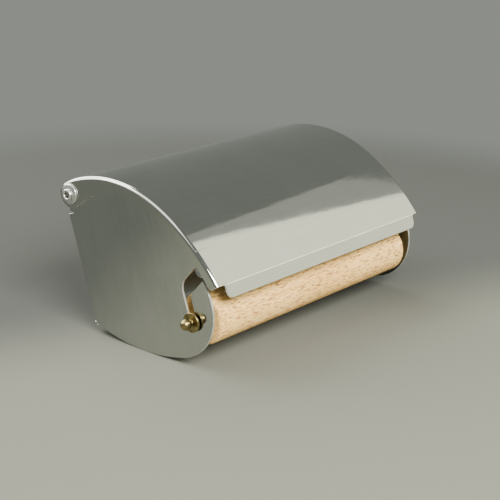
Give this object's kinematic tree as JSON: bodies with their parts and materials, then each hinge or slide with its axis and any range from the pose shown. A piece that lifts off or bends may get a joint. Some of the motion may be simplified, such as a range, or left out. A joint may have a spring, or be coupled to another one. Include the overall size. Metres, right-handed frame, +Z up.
{
  "type": "covered wall roll holder",
  "caption": "Wall-mounted roll holder: folded steel frame, hinged curved hood and a beech roller hung by brass pins in bent slots.",
  "frame": {"origin": "middle of the back plate's rear face, where it meets the wall", "axes": "+Y into the wall, +X along the roller, +Z up; the hood opens towards -Y"},
  "size_m": [0.1536, 0.0814, 0.0823],
  "materials": {
    "frame_steel": "polished with a fine upright grain",
    "hood_steel": "satin polished",
    "bare_steel": "bright, as pressed",
    "brass": "turned, slightly aged",
    "beech": "bare, sanded"
  },
  "bodies": {
    "frame": {"frame": "frame_steel", "hinge_washer_left": "bare_steel", "hinge_washer_right": "bare_steel", "hinge_rivet_left": "bare_steel", "hinge_rivet_right": "bare_steel"},
    "hood": {"hood": "hood_steel"},
    "pins": {"roller_pin_left": "brass", "roller_pin_right": "brass"},
    "roller": {"roller": "beech"}
  },
  "joints": [
    {"name": "hood_hinge", "type": "hinge", "parent": "frame", "child": "hood", "pos_m": [0, -0.0066, 0.034], "axis": [-1, 0, 0], "range_deg": [0, 92]},
    {"name": "roller_lift", "type": "slide", "parent": "frame", "child": "pins", "axis": [0, 0, 1], "range_m": [0, 0.0135]},
    {"name": "roller_spin", "type": "hinge", "parent": "pins", "child": "roller", "pos_m": [0, -0.0622, -0.0272], "axis": [1, 0, 0], "continuous": true}
  ]
}
